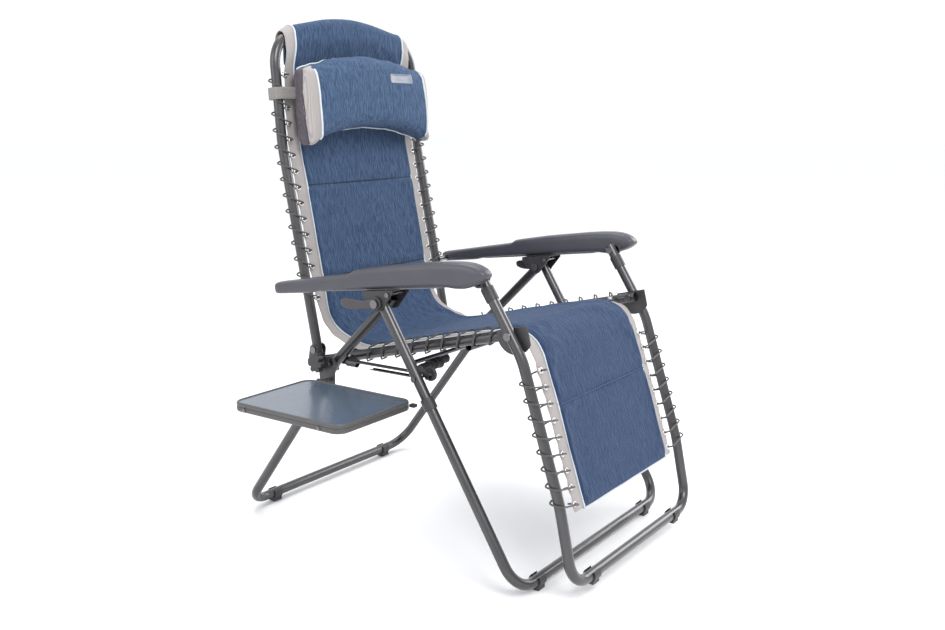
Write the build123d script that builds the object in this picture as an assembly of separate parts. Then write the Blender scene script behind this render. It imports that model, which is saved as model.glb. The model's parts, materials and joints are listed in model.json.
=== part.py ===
from build123d import *
import math
import os

# Zero gravity recliner with padded sling, sliding headrest and side table.
# Millimetres, +Z up, the sitter faces -Y.  The model is laid out about the
# hub line (y = 0) on the symmetry plane (x = 0) and is moved at the end so
# that the origin is the bottom centre of its bounding box.

# ---- driving dimensions -------------------------------------------------
TUBE_R = 11.0
TUBE_WALL = 1.3
GAP = 0.05          # radial clearance of pins and saddles
PIN_R = 4.0
BOLT_R = 5.0

X_RAIL = 236.0      # seat rails and back tubes
X_FOOT = 262.2      # footrest tubes
X_REAR = 286.0      # rear legs and struts
X_FRONT = 310.0     # front legs
X_ARM = 301.0       # armrest centre
ARM_W = 44.0
BOSS_TRAVEL = 13.0
FOOT_CLIP_X = 186.0
BADGE_AT = (96.0, 50.0)  # play of the footrest boss in its pocket under the armrest nose

# pivots, as (y, z) in the side plane
HUB = (0.0, 554.0)
SEAT_PIVOT = (149.0, 408.0)
BACK_PIVOT = (253.2, 410.0)
KNEE_PIVOT = (-278.0, 512.0)
ARM_REAR = (281.5, 553.0)
ARM_FRONT = (-214.0, 613.0)
BRACE_FRONT_Z = 410.0

FLOOR_BAR_Z = 19.0
REAR_FOOT_Y = 444.0
FRONT_FOOT_Y = -328.0
FOOTREST_BEND = (-304.0, 470.0)
FOOTREST_LOW = (-424.0, 38.0)
CORNER_R = 55.0

BACK_BEND = (342.0, 858.0)
BACK_SHOULDER = (360.0, 1088.0)
BACK_CROWN_Z = 1131.0

SLING_HALF = 186.0      # padded width, each side of the centre
MARGIN_HALF = 220.0     # plain margin that carries the eyelets
PAD_T = 24.0
MARGIN_T = 4.0
EYELET_X = 211.0
EYELET_BORE = 3.6
EYELET_R = 5.2
CORD_R = 1.8

FOLD_ANGLE = 62.0       # front leg travel when the chair is packed flat

TABLE_X = (-336.0, -550.0)
TABLE_Y = (-100.0, 186.0)
TABLE_TOP_Z = 374.0
TABLE_RIM = 18.0

parts = {}


# ---- helpers ------------------------------------------------------------
def unit(a, b):
    length = math.dist(a, b)
    return ((b[0] - a[0]) / length, (b[1] - a[1]) / length)


def along(a, b, distance):
    d = unit(a, b)
    return (a[0] + d[0] * distance, a[1] + d[1] * distance)


def turn_about(point, centre, degrees):
    c, s = math.cos(math.radians(degrees)), math.sin(math.radians(degrees))
    y, z = point[0] - centre[0], point[1] - centre[1]
    return (centre[0] + y * c - z * s, centre[1] + y * s + z * c)


def swept(points, radii, section):
    path = FilletPolyline(*points, radius=radii)
    start = Plane(origin=path @ 0, z_dir=path % 0)
    return sweep(start * section, path=path)


def tube(points, radii, outer=TUBE_R, wall=TUBE_WALL):
    return swept(points, radii, Circle(outer) - Circle(outer - wall))


def straight_tube(a, b, outer=TUBE_R, wall=TUBE_WALL):
    start = Plane(origin=a, z_dir=Vector(*b) - Vector(*a))
    return extrude(start * (Circle(outer) - Circle(outer - wall)), amount=math.dist(a, b))


def rod(a, b, radius):
    start = Plane(origin=a, z_dir=Vector(*b) - Vector(*a))
    return extrude(start * Circle(radius), amount=math.dist(a, b))


def cross_pin(yz, x0, x1, radius):
    return rod((x0, *yz), (x1, *yz), radius)


def slab(sketch, x0, x1):
    return extrude(Plane.YZ.offset(min(x0, x1)) * sketch, amount=abs(x1 - x0))


def both(shape):
    return Part() + [shape, mirror(shape, about=Plane.YZ)]


def stadium(a, b, width):
    middle = ((a[0] + b[0]) / 2, (a[1] + b[1]) / 2)
    angle = math.degrees(math.atan2(b[1] - a[1], b[0] - a[0]))
    return Pos(*middle) * Rot(0, 0, angle) * SlotCenterToCenter(math.dist(a, b), width)


def band(points, thickness, x0, x1):
    """A strip of constant thickness about a side-plane line, x0 to x1 wide."""
    line = [Vector(*p) for p in points]
    left, right = [], []
    for i, p in enumerate(line):
        before = (p - line[i - 1]).normalized() if i else None
        after = (line[i + 1] - p).normalized() if i < len(line) - 1 else None
        d = ((before or after) + (after or before)).normalized()
        half = thickness / 2 / (d.dot(after or before))
        normal = Vector(-d.Y, d.X) * half
        left.append(p + normal)
        right.append(p - normal)
    return slab(make_face(Polyline(*left, *reversed(right), close=True)), x0, x1)


def point_on(points, distance):
    """Point and direction at a distance along a side-plane line."""
    for a, b in zip(points, points[1:]):
        length = math.dist(a, b)
        if distance <= length:
            return along(a, b, distance), unit(a, b)
        distance -= length
    return points[-1], unit(points[-2], points[-1])


def foot_clip(x, y, bar_z, width=24.0):
    """Plastic saddle clipped round the underside of a floor bar, with a flat sole."""
    jacket = rod((x - width / 2, y, bar_z), (x + width / 2, y, bar_z), TUBE_R + 3.2)
    sole = Pos(x, y, bar_z / 2) * Box(width, 19, bar_z)
    body = jacket + sole
    body -= rod((x - width, y, bar_z), (x + width, y, bar_z), TUBE_R + GAP)
    return body - Pos(x, y, bar_z + 20) * Box(width + 2, 2 * TUBE_R - 3, 38)


# ---- rear legs ----------------------------------------------------------
def build_rear_legs():
    top = along(SEAT_PIVOT, HUB, math.dist(SEAT_PIVOT, HUB) + 13)
    foot = (REAR_FOOT_Y, FLOOR_BAR_Z)
    side = [top, SEAT_PIVOT, foot]
    points = [(X_REAR, *p) for p in side] + [(-X_REAR, *p) for p in reversed(side)]
    legs = tube(points, [90, CORNER_R, CORNER_R, 90])
    for yz, radius in ((HUB, BOLT_R), (SEAT_PIVOT, BOLT_R)):
        for s in (-1, 1):
            legs -= cross_pin(yz, s * (X_REAR - 20), s * (X_REAR + 20), radius + GAP)
    parts["rear_leg_frame"] = legs
    parts["rear_foot_clips"] = both(foot_clip(202, REAR_FOOT_Y, FLOOR_BAR_Z))


# ---- front legs ---------------------------------------------------------
def build_front_legs():
    foot = (FRONT_FOOT_Y, FLOOR_BAR_Z)
    top = along(foot, HUB, math.dist(foot, HUB) + 13)
    points = [(X_FRONT, *top), (X_FRONT, *foot), (-X_FRONT, *foot), (-X_FRONT, *top)]
    legs = tube(points, [CORNER_R, CORNER_R])
    stub = brace_front()
    for s in (-1, 1):
        legs -= cross_pin(HUB, s * (X_FRONT - 20), s * (X_FRONT + 20), BOLT_R + GAP)
        legs -= cross_pin(stub, s * (X_FRONT - 20), s * (X_FRONT + 20), 3 + GAP)
    parts["front_leg_frame"] = legs
    parts["front_foot_clips"] = both(foot_clip(234, FRONT_FOOT_Y, FLOOR_BAR_Z))
    head = cross_pin(stub, X_FRONT + TUBE_R + 0.2, X_FRONT + TUBE_R + 3, 6)
    shank = cross_pin(stub, 262, X_FRONT + TUBE_R + 1, 3)
    parts["brace_slide_bolts"] = both(head + shank)
    disc = cross_pin(stub, 263, 270, 15)
    disc = chamfer(disc.edges(), 1.5) - cross_pin(stub, 260, 272, 3 + GAP)
    parts["brace_slide_discs"] = both(disc)


def brace_front():
    foot = (FRONT_FOOT_Y, FLOOR_BAR_Z)
    t = (HUB[1] - BRACE_FRONT_Z) / (HUB[1] - foot[1])
    return (HUB[0] + (foot[0] - HUB[0]) * t, BRACE_FRONT_Z)


# ---- slotted braces between the rear pivot and the front leg ------------
def build_braces():
    stub = brace_front()
    packed = turn_about(stub, HUB, FOLD_ANGLE)
    reach = math.dist(SEAT_PIVOT, stub)
    inner_end = math.dist(SEAT_PIVOT, packed)
    radius = 8.0
    start = along(SEAT_PIVOT, stub, 32)
    end = along(SEAT_PIVOT, stub, reach + 14)
    brace = straight_tube((X_REAR, *start), (X_REAR, *end), radius, 1.5)
    tab = slab(stadium(SEAT_PIVOT, along(SEAT_PIVOT, stub, 44), 18), 271.2, 274.2)
    bridge = slab(stadium(along(SEAT_PIVOT, stub, 36), along(SEAT_PIVOT, stub, 46), 13), 273, 281)
    brace += tab + bridge
    slot = stadium(along(SEAT_PIVOT, stub, inner_end), along(SEAT_PIVOT, stub, reach), 7.4)
    brace -= slab(slot, 276.5, 300)
    brace -= slab(slot, 274.5, 290) - slab(stadium(SEAT_PIVOT, along(SEAT_PIVOT, stub, 46), 30), 270, 282)
    brace -= cross_pin(SEAT_PIVOT, 268, 278, BOLT_R + GAP)
    # the bolt's swing leaves the slot downwards, so the tube is open below at both ends
    for near, far in ((inner_end - 6, inner_end + 34), (reach - 34, reach + 6)):
        throat = [along(SEAT_PIVOT, stub, near), along(SEAT_PIVOT, stub, far)]
        throat += [(y, z - 2 * radius) for y, z in reversed(throat)]
        brace -= slab(make_face(Polyline(*throat, close=True)), 276.5, 300)
    parts["leg_braces"] = both(brace)


# ---- seat frame ---------------------------------------------------------
def rail_point(y):
    t = (y - SEAT_PIVOT[0]) / (KNEE_PIVOT[0] - SEAT_PIVOT[0])
    return (y, SEAT_PIVOT[1] + t * (KNEE_PIVOT[1] - SEAT_PIVOT[1]))


def rail_offset(y, drop):
    """Point at a drop below the rail line, square to it."""
    d = unit(rail_point(200), rail_point(0))
    p = rail_point(y)
    return (p[0] - d[1] * drop, p[1] + d[0] * drop)


def build_seat_frame():
    rear, front = rail_point(272), rail_point(-291)
    frame = Part()
    for s in (-1, 1):
        frame += straight_tube((s * X_RAIL, *rear), (s * X_RAIL, *front))
    bore = TUBE_R - TUBE_WALL / 2
    for y, drop, radius in ((236, 0, 8.0), (-150, 15, 8.0)):
        cross = rail_offset(y, drop)
        edge = X_RAIL - bore
        frame += straight_tube((-edge, *cross), (edge, *cross), radius, 1.2)
    for s in (-1, 1):
        for yz, radius in ((SEAT_PIVOT, BOLT_R), (KNEE_PIVOT, PIN_R)):
            frame -= cross_pin(yz, s * (X_RAIL - 20), s * (X_RAIL + 20), radius + GAP)
    parts["seat_frame"] = frame

    plug = rod((X_RAIL, *along(rear, front, -3)), (X_RAIL, *along(rear, front, -0.05)), TUBE_R)
    plug += rod((X_RAIL, *along(rear, front, -0.05)), (X_RAIL, *along(rear, front, 14)), 9.6)
    parts["seat_rail_end_caps"] = both(plug)

    ears = Part()
    low = rail_point(258)
    outline = stadium(low, BACK_PIVOT, 24)
    for x0, x1 in ((X_RAIL + 11.1, X_RAIL + 13.6), (X_RAIL - 13.6, X_RAIL - 11.1)):
        ears += slab(outline, x0, x1) - cross_pin(BACK_PIVOT, x0 - 1, x1 + 1, PIN_R + GAP)
    ears += cross_pin(low, X_RAIL + 13.6, X_RAIL + 16.5, 6) + cross_pin(low, X_RAIL - 16.5, X_RAIL - 13.6, 6)
    parts["back_hinge_ears"] = both(ears)

    rod_y, rod_z = rail_offset(10, 34)
    cross_rod = rod((-222, rod_y, rod_z), (222, rod_y, rod_z), 5)
    for s in (-1, 1):
        cross_rod += slab(stadium((rod_y, rod_z), rail_point(10), 14), s * 221.9, s * 224.9)
    parts["seat_cross_rod"] = cross_rod

    roll = Part()
    for x, length, dy in ((-150, 74, 0), (-104, 66, 16)):
        bundle = Pos(x, rod_y + dy, rod_z - 19) * Rot(0, 90, 0) * Cylinder(11, length)
        roll += fillet(bundle.edges(), 9)
    parts["carry_strap_roll"] = roll


def build_seat_pivots():
    bolt = cross_pin(SEAT_PIVOT, 219.5, 224.6, 8.5)
    bolt += cross_pin(SEAT_PIVOT, 224, 298, BOLT_R)
    bolt += cross_pin(SEAT_PIVOT, 247.6, 270.8, 9)
    bolt += cross_pin(SEAT_PIVOT, 297.4, 302.6, 8.5)
    parts["seat_pivot_bolts"] = both(bolt)


# ---- back frame ---------------------------------------------------------
def back_line():
    low = along(BACK_PIVOT, BACK_BEND, -9)
    return [low, BACK_BEND, BACK_SHOULDER]


def build_back_frame():
    side = back_line()
    crown_y = BACK_SHOULDER[0] + 3
    points = [(X_RAIL, *p) for p in side]
    points += [(0, crown_y, BACK_CROWN_Z)]
    points += [(-X_RAIL, *p) for p in reversed(side)]
    frame = tube(points, [300, 74, 520, 74, 300])
    for s in (-1, 1):
        for yz in (BACK_PIVOT, ARM_REAR):
            frame -= cross_pin(yz, s * (X_RAIL - 20), s * (X_RAIL + 20), PIN_R + GAP)
    parts["back_frame"] = frame

    pin = cross_pin(BACK_PIVOT, X_RAIL - 17, X_RAIL - 13.7, 8)
    pin += cross_pin(BACK_PIVOT, X_RAIL - 14, X_RAIL + 14, PIN_R)
    pin += cross_pin(BACK_PIVOT, X_RAIL + 13.7, X_RAIL + 17, 8)
    parts["back_hinge_pins"] = both(pin)

    arm_pin = cross_pin(ARM_REAR, X_RAIL - 15, X_RAIL - 11.1, 7)
    arm_pin += cross_pin(ARM_REAR, X_RAIL - 12, 309, PIN_R)
    arm_pin += cross_pin(ARM_REAR, X_RAIL + 11.3, 281.7, 7)
    parts["arm_rear_pins"] = both(arm_pin)


# ---- footrest frame -----------------------------------------------------
def footrest_line():
    return [along(ARM_FRONT, FOOTREST_BEND, -13), FOOTREST_BEND, (-392.0, 195.0), FOOTREST_LOW]


def build_footrest():
    side = footrest_line()
    points = [(X_FOOT, *p) for p in side] + [(-X_FOOT, *p) for p in reversed(side)]
    frame = tube(points, [170, 500, 50, 50, 500, 170])
    for s in (-1, 1):
        for yz, radius in ((KNEE_PIVOT, PIN_R), (ARM_FRONT, 3.0)):
            frame -= cross_pin(yz, s * (X_FOOT - 20), s * (X_FOOT + 20), radius + GAP)
    parts["footrest_frame"] = frame

    bar_y, bar_z = FOOTREST_LOW
    clip = rod((FOOT_CLIP_X - 12, bar_y, bar_z), (FOOT_CLIP_X + 12, bar_y, bar_z), TUBE_R + 3.2)
    clip += Pos(FOOT_CLIP_X, bar_y, bar_z - 8) * Box(24, 19, 18)
    clip -= rod((150, bar_y, bar_z), (220, bar_y, bar_z), TUBE_R + GAP)
    clip -= Pos(FOOT_CLIP_X, bar_y, bar_z + 20) * Box(26, 2 * TUBE_R - 3, 38)
    parts["footrest_foot_clips"] = both(clip)

    boss = cross_pin(ARM_FRONT, X_FOOT - TUBE_R - 4, X_FOOT - TUBE_R - 0.2, 7)
    boss += cross_pin(ARM_FRONT, X_FOOT - TUBE_R - 1, 288, 3)
    boss += cross_pin(ARM_FRONT, X_FOOT + TUBE_R + 0.2, 278, 7)
    boss += cross_pin(ARM_FRONT, 277, 288, 6)
    parts["footrest_pivot_bosses"] = both(boss)

    a = along(ARM_FRONT, FOOTREST_BEND, 16)
    b = along(ARM_FRONT, FOOTREST_BEND, 44)
    sleeve = rod((X_FOOT, *a), (X_FOOT, *b), TUBE_R + 2.2) - rod((X_FOOT, *a), (X_FOOT, *b), TUBE_R + GAP)
    parts["footrest_sleeves"] = both(sleeve)


def build_knee():
    rail = unit(KNEE_PIVOT, SEAT_PIVOT)
    angle = math.degrees(math.atan2(rail[1], rail[0]))
    disc = Pos(*KNEE_PIVOT) * Rot(0, 0, angle) * Circle(40)
    keep = Pos(*KNEE_PIVOT) * Rot(0, 0, angle) * Pos(10, -16) * Rectangle(84, 58)
    plate = slab(disc & keep, 247.6, 250.4)
    plate -= cross_pin(KNEE_PIVOT, 246, 252, PIN_R + GAP)
    parts["knee_plates"] = both(plate)
    pin = cross_pin(KNEE_PIVOT, 220.8, 224.6, 8)
    pin += cross_pin(KNEE_PIVOT, 224, 274, PIN_R)
    pin += cross_pin(KNEE_PIVOT, 273.5, 276.4, 8)
    parts["knee_pins"] = both(pin)


# ---- armrests, drawn along the line from rear pivot to front pivot ------
def arm_to_side(u, v):
    d = unit(ARM_REAR, ARM_FRONT)
    return (ARM_REAR[0] + d[0] * u + d[1] * v, ARM_REAR[1] + d[1] * u - d[0] * v)


def arm_outline():
    p = [arm_to_side(u, v) for u, v in (
        (-13, -9), (92, -9), (114, -5), (440, -5), (470, -9), (496, -9), (520, -4),
        (542, 8), (532, 27), (494, 40), (420, 43), (310, 41), (212, 35), (206, 29), (-13, 15))]
    edges = [Line(p[i], p[i + 1]) for i in range(0, 3)]
    edges += [Spline(p[3], p[4], p[5], p[6], p[7])]
    edges += [Spline(p[7], p[8], p[9], p[10], p[11], p[12])]
    edges += [Line(p[12], p[13]), Line(p[13], p[14]), Line(p[14], p[0])]
    return make_face(edges)


def build_armrests():
    x0, x1 = X_ARM - ARM_W / 2, X_ARM + ARM_W / 2
    arm = slab(arm_outline(), x0, x1)
    arm -= cross_pin(ARM_REAR, x0 - 1, 310, PIN_R + GAP)
    arm -= cross_pin(ARM_REAR, x0 - 1, 282, 7.5)
    arm -= slab(stadium(ARM_FRONT, along(ARM_FRONT, ARM_REAR, BOSS_TRAVEL), 20), x0 - 1, 292)
    parts["armrest_left"] = arm
    parts["armrest_right"] = mirror(arm, about=Plane.YZ)
    strip = Polyline(*[arm_to_side(u, v) for u, v in (
        (118, -5.1), (436, -5.1), (436, -7.1), (118, -7.1))], close=True)
    parts["armrest_slide_strips"] = both(slab(make_face(strip), X_ARM - 12, X_ARM + 12))


# ---- hub carriages, pins and lock levers --------------------------------
def build_hubs():
    d = unit(ARM_REAR, ARM_FRONT)
    u_hub = (HUB[0] - ARM_REAR[0]) * d[0] + (HUB[1] - ARM_REAR[1]) * d[1]
    v_hub = (HUB[0] - ARM_REAR[0]) * d[1] - (HUB[1] - ARM_REAR[1]) * d[0]
    top = -7.6
    inner, outer = (269.9, 273.4), (322.0, 325.5)

    def cheek(x0, x1):
        p = [arm_to_side(u, v) for u, v in (
            (u_hub - 36, top), (u_hub + 42, top), (u_hub + 42, top - 7),
            (u_hub + 15, v_hub - 8), (u_hub - 15, v_hub - 8), (u_hub - 36, top - 9))]
        face = make_face(Polyline(*p, close=True)) + Pos(*HUB) * Circle(17)
        return slab(face, x0, x1) - cross_pin(HUB, x0 - 1, x1 + 1, BOLT_R + GAP)

    web = make_face(Polyline(*[arm_to_side(u, v) for u, v in (
        (u_hub - 36, top), (u_hub + 42, top), (u_hub + 42, top - 3), (u_hub - 36, top - 3))], close=True))
    housing = cheek(*inner) + cheek(*outer) + slab(web, inner[0], outer[1])
    clamp = arm_to_side(u_hub + 30, top - 9)
    for x0, x1 in (inner, outer):
        housing -= cross_pin(clamp, x0 - 1, x1 + 1, 2.5 + GAP)
    parts["hub_carriages"] = both(housing)

    bolt = cross_pin(clamp, 266.5, 269.7, 5) + cross_pin(clamp, 269, 326, 2.5)
    bolt += cross_pin(clamp, 325.7, 329, 5)
    parts["hub_clamp_bolts"] = both(bolt)

    pin = cross_pin(HUB, 266, 269.6, 9) + cross_pin(HUB, 269, 336, BOLT_R)
    pin += cross_pin(HUB, 333.2, 337, 9)
    parts["hub_pins"] = both(pin)

    tip = arm_to_side(u_hub - 84, v_hub + 2)
    neck = arm_to_side(u_hub - 40, v_hub - 2)
    lever = slab(Pos(*HUB) * Circle(14), 326.2, 332.8)
    lever += slab(stadium(HUB, neck, 15), 326.2, 331.6)
    lever += slab(stadium(neck, tip, 20), 326.2, 331.6)
    lever -= cross_pin(HUB, 325, 334, BOLT_R + GAP)
    parts["lock_lever_left"] = lever
    parts["lock_lever_right"] = mirror(lever, about=Plane.YZ)


# ---- soft parts ---------------------------------------------------------
def back_sling_line():
    low, bend, top = back_line()
    start = along(low, bend, 106)
    return [start, bend, along(bend, top, 166)]


def seat_sling_line():
    return [rail_offset(y, -8) for y in (128, -60, -256)]


def footrest_sling_line():
    low = footrest_line()
    return [along(low[1], low[2], 18), low[2], along(low[2], low[3], 26)]


def sling(name, line, count):
    """Padded panel with thin eyelet margins, its eyelets and its lacing."""
    panel = band(line, PAD_T, -SLING_HALF, SLING_HALF)
    panel += band(line, MARGIN_T, -MARGIN_HALF, MARGIN_HALF)
    length = sum(math.dist(a, b) for a, b in zip(line, line[1:]))
    pitch = (length - 30) / (count - 1)
    eyelets = Part()
    for i in range(count):
        (y, z), (dy, dz) = point_on(line, 15 + i * pitch)
        normal = Vector(0, -dz, dy)
        for s in (-1, 1):
            centre = Vector(s * EYELET_X, y, z)
            low, high = centre - normal * 3.0, centre + normal * 3.0
            panel -= rod(tuple(low), tuple(high), EYELET_R + GAP)
            ring = rod(tuple(low), tuple(high), EYELET_R)
            eyelets += ring - rod(tuple(low - normal), tuple(high + normal), EYELET_BORE)
    parts[name + "_sling"] = panel
    parts[name + "_eyelets"] = eyelets
    return pitch


def lacing(name, line, count, pitch, axis_line, x_tube):
    """Elastic cord: up through each eyelet, over the tube, round and back under it."""
    height = TUBE_R + CORD_R + 1.2
    for side, s in (("left", 1), ("right", -1)):
        route = []
        for i in range(count):
            (y, z), (dy, dz) = point_on(line, 15 + i * pitch)
            n = Vector(0, -dz, dy)
            centre = Vector(s * EYELET_X, y, z)
            axis = nearest_on(axis_line, (y, z))
            rise = (centre - Vector(centre.X, *axis)).dot(n)
            route += [centre - n * (height + max(0, rise)), centre + n * (height + max(0, -rise))]
            if i == count - 1:
                break
            for share, sign in ((0.35, 1), (0.65, -1)):
                (y, z), (dy, dz) = point_on(line, 15 + (i + share) * pitch)
                axis = nearest_on(axis_line, (y, z))
                n = Vector(0, -dz, dy)
                route.append(Vector(s * (x_tube + height), *axis) + n * height * sign)
        cord = swept([tuple(p) for p in route], 9.0, Circle(CORD_R))
        parts[f"{name}_lacing_{side}"] = cord


def nearest_on(line, point):
    best = None
    for a, b in zip(line, line[1:]):
        d = unit(a, b)
        t = (point[0] - a[0]) * d[0] + (point[1] - a[1]) * d[1]
        q = along(a, b, max(0.0, min(t, math.dist(a, b))))
        if best is None or math.dist(q, point) < math.dist(best, point):
            best = q
    return best


def build_slings():
    for name, line, count, axis_line, x_tube in (
            ("back", back_sling_line(), 15, back_line(), X_RAIL),
            ("seat", seat_sling_line(), 10, [rail_point(272), rail_point(-290)], X_RAIL),
            ("footrest", footrest_sling_line(), 9, footrest_line(), X_FOOT)):
        pitch = sling(name, line, count)
        lacing(name, line, count, pitch, axis_line, x_tube)


def build_top_pocket():
    """Padded pocket of the sling over the crown of the back frame."""
    y = BACK_SHOULDER[0] + 2
    ends = 168.0
    drop = (BACK_CROWN_Z - BACK_SHOULDER[1]) * ends / X_RAIL
    points = [(ends, y, BACK_CROWN_Z - drop), (0, y + 1, BACK_CROWN_Z), (-ends, y, BACK_CROWN_Z - drop)]
    section = Circle(TUBE_R + 8) - Circle(TUBE_R + 1.2)
    parts["top_pocket"] = swept(points, [520], section)


def build_headrest():
    low, bend, top = back_line()
    d = unit(bend, top)
    front = PAD_T / 2 + 7.0
    depth, height, half = 54.0, 172.0, 208.0

    def place(x, up, out):
        base = along(bend, top, 92)
        return (x, base[0] + d[0] * up - d[1] * out, base[1] + d[1] * up + d[0] * out)

    face = make_face([
        Line(place(half, -height / 2 - 14, front), place(half, height / 2 - 18, front)),
        ThreePointArc(place(half, height / 2 - 18, front), place(0, height / 2 + 20, front),
                      place(-half, height / 2 - 18, front)),
        Line(place(-half, height / 2 - 18, front), place(-half, -height / 2 - 14, front)),
        ThreePointArc(place(-half, -height / 2 - 14, front), place(0, -height / 2 + 22, front),
                      place(half, -height / 2 - 14, front))])
    pillow = extrude(face, amount=depth, dir=(0, -d[1], d[0]))
    parts["headrest_pillow"] = pillow

    outer, inner = X_RAIL + TUBE_R + 8.0, X_RAIL + TUBE_R + 6.2
    rear = TUBE_R + 8.0
    z_mid, width = 18.0, 30.0
    loop = []
    for x, out in ((half - 20, front - 0.4), (outer, front - 0.4), (outer, -rear), (-outer, -rear),
                   (-outer, front - 0.4), (20 - half, front - 0.4), (20 - half, front - 2.2),
                   (-inner, front - 2.2), (-inner, 1.8 - rear), (inner, 1.8 - rear),
                   (inner, front - 2.2), (half - 20, front - 2.2)):
        loop.append(place(x, z_mid - width / 2, out))
    strap = extrude(make_face(Polyline(*loop, close=True)), amount=width, dir=(0, d[0], d[1]))
    parts["headrest_strap"] = strap

    centre = place(*BADGE_AT, front + depth + 0.2)
    plane = Plane(origin=centre, x_dir=(1, 0, 0), z_dir=(0, -d[1], d[0]))
    badge = extrude(plane * RectangleRounded(84, 22, 5), amount=1.6)
    parts["headrest_badge"] = badge


# ---- side table ---------------------------------------------------------
def build_table():
    x_in, x_out = TABLE_X
    width, length = x_in - x_out, TABLE_Y[1] - TABLE_Y[0]
    centre = Pos((x_in + x_out) / 2, sum(TABLE_Y) / 2, 0)
    outer = RectangleRounded(width, length, 24)
    hole = RectangleRounded(width - 9, length - 9, 20)
    z0 = TABLE_TOP_Z - TABLE_RIM
    rim = centre * Pos(0, 0, z0) * extrude(outer - hole, amount=TABLE_RIM)
    lip = centre * Pos(0, 0, z0 + 10) * extrude(RectangleRounded(width - 5, length - 5, 22)
                                                - RectangleRounded(width - 22, length - 22, 14), amount=2)
    parts["table_rim"] = rim + lip
    panel = centre * Pos(0, 0, z0 + 12.2) * extrude(RectangleRounded(width - 9.8, length - 9.8, 19.6), amount=4)
    parts["table_top"] = panel

    arms = Part()
    for y in (-48.0, 150.0):
        arms += Pos((x_in + x_out) / 2, y, z0 + 4.8) * Box(width - 9.4, 18, 9.8)
        arms -= Pos((x_in + x_out) / 2, y, z0 + 3.4) * Box(width, 15, 9.8)
    knuckle_x, knuckle_z, knuckle_r, hinge_pin_r = x_in + 5.0, TABLE_TOP_Z - 3.0, 4.8, 2.0
    parts["table_support_arms"] = arms
    hinge = Part()
    for y in (140.0, 160.0):
        hinge += Pos(knuckle_x, y, knuckle_z) * Rot(90, 0, 0) * Cylinder(knuckle_r, 8)
        hinge += Pos(x_in + 2.6, y, knuckle_z - 1.5) * Box(5, 8, 6)
    hinge -= Pos(knuckle_x, 150, knuckle_z) * Rot(90, 0, 0) * Cylinder(hinge_pin_r + GAP, 40)
    parts["table_hinge_knuckles"] = hinge
    screws = Part()
    for y in (-48.0, 150.0):
        screws += Pos(x_out - 1.1, y, z0 + 5) * Rot(0, 90, 0) * Cylinder(4, 2)
    parts["table_rim_screws"] = screws

    plate = slab(stadium(SEAT_PIVOT, (174, 404), 26), -303.4, -306.4)
    plate += slab(make_face(Polyline((138, 396), (184, 396), (180, 352), (140, 352), close=True)), -303.4, -306.4)
    plate += Pos(-316.5, 150, knuckle_z) * Box(23, 9, 6)
    plate += Pos(knuckle_x, 150, knuckle_z) * Rot(90, 0, 0) * Cylinder(knuckle_r, 11)
    plate -= Pos(knuckle_x, 150, knuckle_z) * Rot(90, 0, 0) * Cylinder(hinge_pin_r + GAP, 40)
    plate -= cross_pin(SEAT_PIVOT, -310, -300, 9.0)
    plate -= cross_pin((176, 404), -310, -300, 3 + GAP)
    parts["table_bracket"] = plate
    hinge_pin = Pos(knuckle_x, 150, knuckle_z) * Rot(90, 0, 0) * Cylinder(hinge_pin_r, 31)
    parts["table_hinge_pin"] = hinge_pin
    clamp = slab(stadium((176, 404), (163, 388), 14), -271.4, -274.6)
    clamp -= cross_pin((176, 404), -276, -270, 3 + GAP)
    parts["table_clamp_plate"] = clamp

    knob = Pos(-317.4, 176, 404) * Rot(0, 90, 0) * Cylinder(11, 20)
    for i in range(6):
        lobe = turn_about((176 + 13, 404), (176, 404), 60 * i)
        knob += cross_pin(lobe, -327.4, -313.4, 6)
    knob += cross_pin((176, 404), -308, -268, 3)
    parts["star_knob"] = knob

    leg_y, leg_z = leg_point(362)
    d = unit((FRONT_FOOT_Y, FLOOR_BAR_Z), HUB)
    low = (leg_y - d[0] * 12, leg_z - d[1] * 12)
    high = (leg_y + d[0] * 12, leg_z + d[1] * 12)
    clip = rod((-X_FRONT, *low), (-X_FRONT, *high), TUBE_R + 3.2)
    clip -= rod((-X_FRONT, *low), (-X_FRONT, *high), TUBE_R + GAP)
    clip -= Pos(-X_FRONT + 14, leg_y, leg_z) * Box(16, 60, 60)
    parts["table_leg_clip"] = clip
    stay = Pos(x_in + 5.5, -94, z0 + 4) * Box(11, 12, 6)
    parts["table_stay"] = stay


def leg_point(z):
    t = (HUB[1] - z) / (HUB[1] - FLOOR_BAR_Z)
    return (HUB[0] + (FRONT_FOOT_Y - HUB[0]) * t, z)


# ---- build everything, set the origin and write the files ---------------
def main():
    build_rear_legs()
    build_front_legs()
    build_braces()
    build_seat_frame()
    build_seat_pivots()
    build_back_frame()
    build_footrest()
    build_knee()
    build_armrests()
    build_hubs()
    build_slings()
    build_top_pocket()
    build_headrest()
    build_table()

    box = Compound(children=[Compound(p.wrapped) for p in parts.values()]).bounding_box()
    shift = Vector(-(box.min.X + box.max.X) / 2, -(box.min.Y + box.max.Y) / 2, -box.min.Z)
    print("origin shift", shift, "size", box.size)
    os.makedirs("parts", exist_ok=True)
    for name, shape in parts.items():
        export_step(Pos(*shift) * shape, f"parts/{name}.step")
    print(len(parts), "nodes")


main()
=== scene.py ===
import json
import math

import bpy
import bmesh
import numpy as np
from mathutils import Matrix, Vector, noise
from mathutils.bvhtree import BVHTree


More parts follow.
